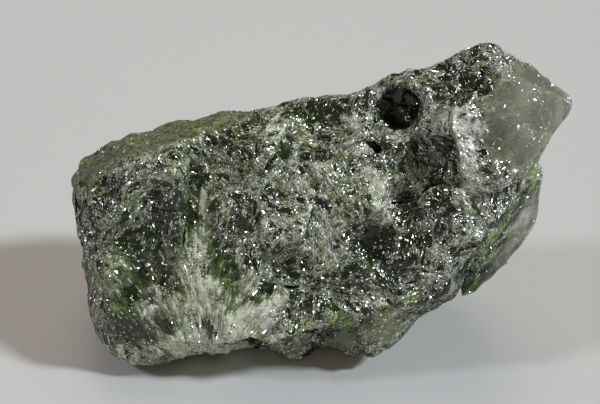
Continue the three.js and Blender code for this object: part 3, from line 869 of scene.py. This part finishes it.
colour = stone.mix(stone.rise(mask["clear"] + 0.8 * (ragged - 0.5), 0.3, 0.7), colour, glass_colour)

# small patches of lime green: painted light shining through thin chips
LIME = rgb(0.36, 0.46, 0.15)
LIME_SHADE = rgb(0.09, 0.17, 0.025)
glowing = mask["lime"] * stone.rise(cloudy, 0.35, 0.55)
lime_colour = stone.mix(stone.rise(flecks + 1.2 * (sugar - 0.5), 0.35, 0.75), LIME_SHADE, LIME)
colour = stone.mix(glowing, colour, lime_colour)

# flakes with flat faces, each turned its own way: the stone between them is turned a little too
FLAKE = 0.075
FLAKE_TILT = 1.2
STONE_TILT = 0.3
RELIEF = 0.22
RELIEF_HEIGHT = 0.06 * MM
flakes = stone_cells(FLAKE, "Color")
face = stone.vectors("SUBTRACT", {0: flakes, 1: (0.5, 0.5, 0.5)})
straight = stone.add("ShaderNodeNewGeometry", {}, {}, "Normal")


def tilted(tilt):
    """The normal, turned towards that of the flake."""
    turned_face = stone.vectors("SCALE", {0: face, "Scale": tilt})
    return stone.vectors("NORMALIZE", {0: stone.vectors("ADD", {0: straight, 1: turned_face})})


facet = tilted(FLAKE_TILT)
normal = stone.add(
    "ShaderNodeBump",
    {},
    {
        "Strength": 0.4,
        "Distance": RELIEF_HEIGHT,
        "Height": stone_noise(RELIEF, 3.0, 0.6),
        "Normal": tilted(STONE_TILT),
    },
)

# the share of the flakes that catch the lamps: most at the rims of the windows
chance = calculated("FRACT", 23.0 * channel(flakes, 1))
often = (0.03 + 0.26 * stone.rise(cluster, 0.46, 0.64)) * (1 - 0.75 * window) + 0.36 * rim
often = often * (1 - 0.85 * mask["fan"] * (1 - 0.5 * milk)) * (1 - 0.7 * mask["band"]) * (1 - 0.9 * hole)
on_tip = mask["clear"] * stone.rise(cluster + 0.2 * mask["tip_light"], 0.55, 0.80)
often = often * mask["grainy"] + 0.03 * (1 - mask["broken"]) + 0.04 * on_tip
flake = calculated("GREATER_THAN", chance, 1 - often)

# stone, silvery flakes, and partly see-through glassy zones with an olive inside
IOR = 1.68
SILVER = rgb(0.80, 0.82, 0.76)
FLAKE_GLOSS = 0.3
GLASS = rgb(0.93, 0.94, 0.88)
GLASS_GLOSS = 0.2
SEEN_THROUGH = 0.5  # share, at most
INSIDE = rgb(0.55, 0.60, 0.40)
DENSITY = 200.0
gloss = stone.rise(sugar, 0.0, 1.0, 0.15, 0.36) * (1 - 0.5 * window) + 0.3 * (1 - mask["broken"])

solid = stone.principled({"Base Color": colour, "Roughness": gloss, "IOR": IOR, "Normal": normal})
silver = stone.principled({"Base Color": SILVER, "Metallic": 1.0, "Roughness": FLAKE_GLOSS, "Normal": facet})
glass = stone.principled(
    {
        "Base Color": GLASS,
        "Roughness": GLASS_GLOSS,
        "IOR": IOR,
        "Transmission Weight": 1.0,
        "Normal": normal,
    }
)
see_through = stone.rise(mask["clear"] + 0.4 * (scratched - 0.5), 0.3, 0.9, 0.0, SEEN_THROUGH) * (1 - glowing)
clouded = stone.add("ShaderNodeMixShader", {}, {0: see_through, 1: solid, 2: glass})
surface = stone.add("ShaderNodeMixShader", {}, {0: flake, 1: clouded, 2: silver})
inside = stone.add("ShaderNodeVolumeAbsorption", {}, {"Color": INSIDE, "Density": DENSITY})
stone.add("ShaderNodeOutputMaterial", {}, {"Surface": surface, "Volume": inside})

mesh.materials.clear()
mesh.materials.append(diopside)

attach(crystal, "root")
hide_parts("diopside_crystal")


# The table that the crystal lies on: a plain, pale board with a faint gloss, wide enough to fill every
# view. It only shows the crystal, and isn't part of it.
TABLE_SIDE = 40.0
TABLE_COLOUR = rgb(0.60, 0.60, 0.595)
TABLE_GLOSS = 0.35

bpy.ops.object.select_all(action="DESELECT")
bpy.ops.mesh.primitive_plane_add(size=TABLE_SIDE)
table = bpy.context.object
table.name = "table"
paint = bpy.data.materials.new("pale board")
board = Shader(paint)
painted = board.principled({"Base Color": TABLE_COLOUR, "Roughness": TABLE_GLOSS})
board.add("ShaderNodeOutputMaterial", {}, {"Surface": painted})
table.data.materials.append(paint)


# Studio light: a soft cool lamp low on the right, a weaker one on the left, and a warm one high at the
# back, in a room with pale walls and a dim ceiling.
LAMP_HEIGHT = math.radians(38.5)
LAMP_SPREAD = 0.14
WALLS = rgb(0.48, 0.47, 0.45)
CEILING = rgb(0.13, 0.11, 0.08)


def far_lamp(name, turn, height, spread, strength, colour):
    """A lamp far off: its turn about the piece, its height, its spread and its strength."""
    data = bpy.data.lights.new(name, "SUN")
    data.angle = spread
    data.energy = strength
    data.color = colour
    lamp = bpy.data.objects.new(name, data)
    lamp.rotation_euler = (math.radians(90) - height, 0, turn)
    bpy.context.scene.collection.objects.link(lamp)


far_lamp("right lamp", math.radians(88), LAMP_HEIGHT, LAMP_SPREAD, 2.6, (0.85, 0.93, 1.0))
far_lamp("left lamp", math.radians(-90), LAMP_HEIGHT, LAMP_SPREAD, 0.9, (0.91, 0.91, 1.0))
far_lamp("back lamp", math.radians(180), math.radians(50), 0.6, 0.45, (1.0, 0.88, 0.68))

world = bpy.data.worlds.new("studio")
room = Shader(world)
around = room.add("ShaderNodeTexCoord", {}, {}, "Generated")
over_floor = room.add("ShaderNodeSeparateXYZ", {}, {0: around}, "Z")
tint = room.mix(room.rise(over_floor, 0.15, 0.5), WALLS, CEILING)
background = room.add("ShaderNodeBackground", {}, {"Color": tint})
room.add("ShaderNodeOutputWorld", {}, {"Surface": background})
bpy.context.scene.world = world
bpy.context.scene.view_settings.view_transform = "Standard"


# The camera looks square onto the broken side, from 11 cm away.
CAMERA_FOCUS = Vector((-0.945, 4.364, 5.585)) * MM
CAMERA_DISTANCE = 112.5 * MM
CAMERA_LENS = 100.0
CAMERA_SENSOR = 36.0
CAMERA_NEAREST = 1 * MM

lens = bpy.data.cameras.new("camera")
lens.lens = CAMERA_LENS
lens.sensor_width = CAMERA_SENSOR
lens.clip_start = CAMERA_NEAREST
camera = bpy.data.objects.new("camera", lens)
camera.location = CAMERA_FOCUS + Vector(SIDE_OUT) * CAMERA_DISTANCE
camera.rotation_euler = (math.radians(90) - SIDE_LEAN, 0, 0)
bpy.context.scene.collection.objects.link(camera)
bpy.context.scene.camera = camera
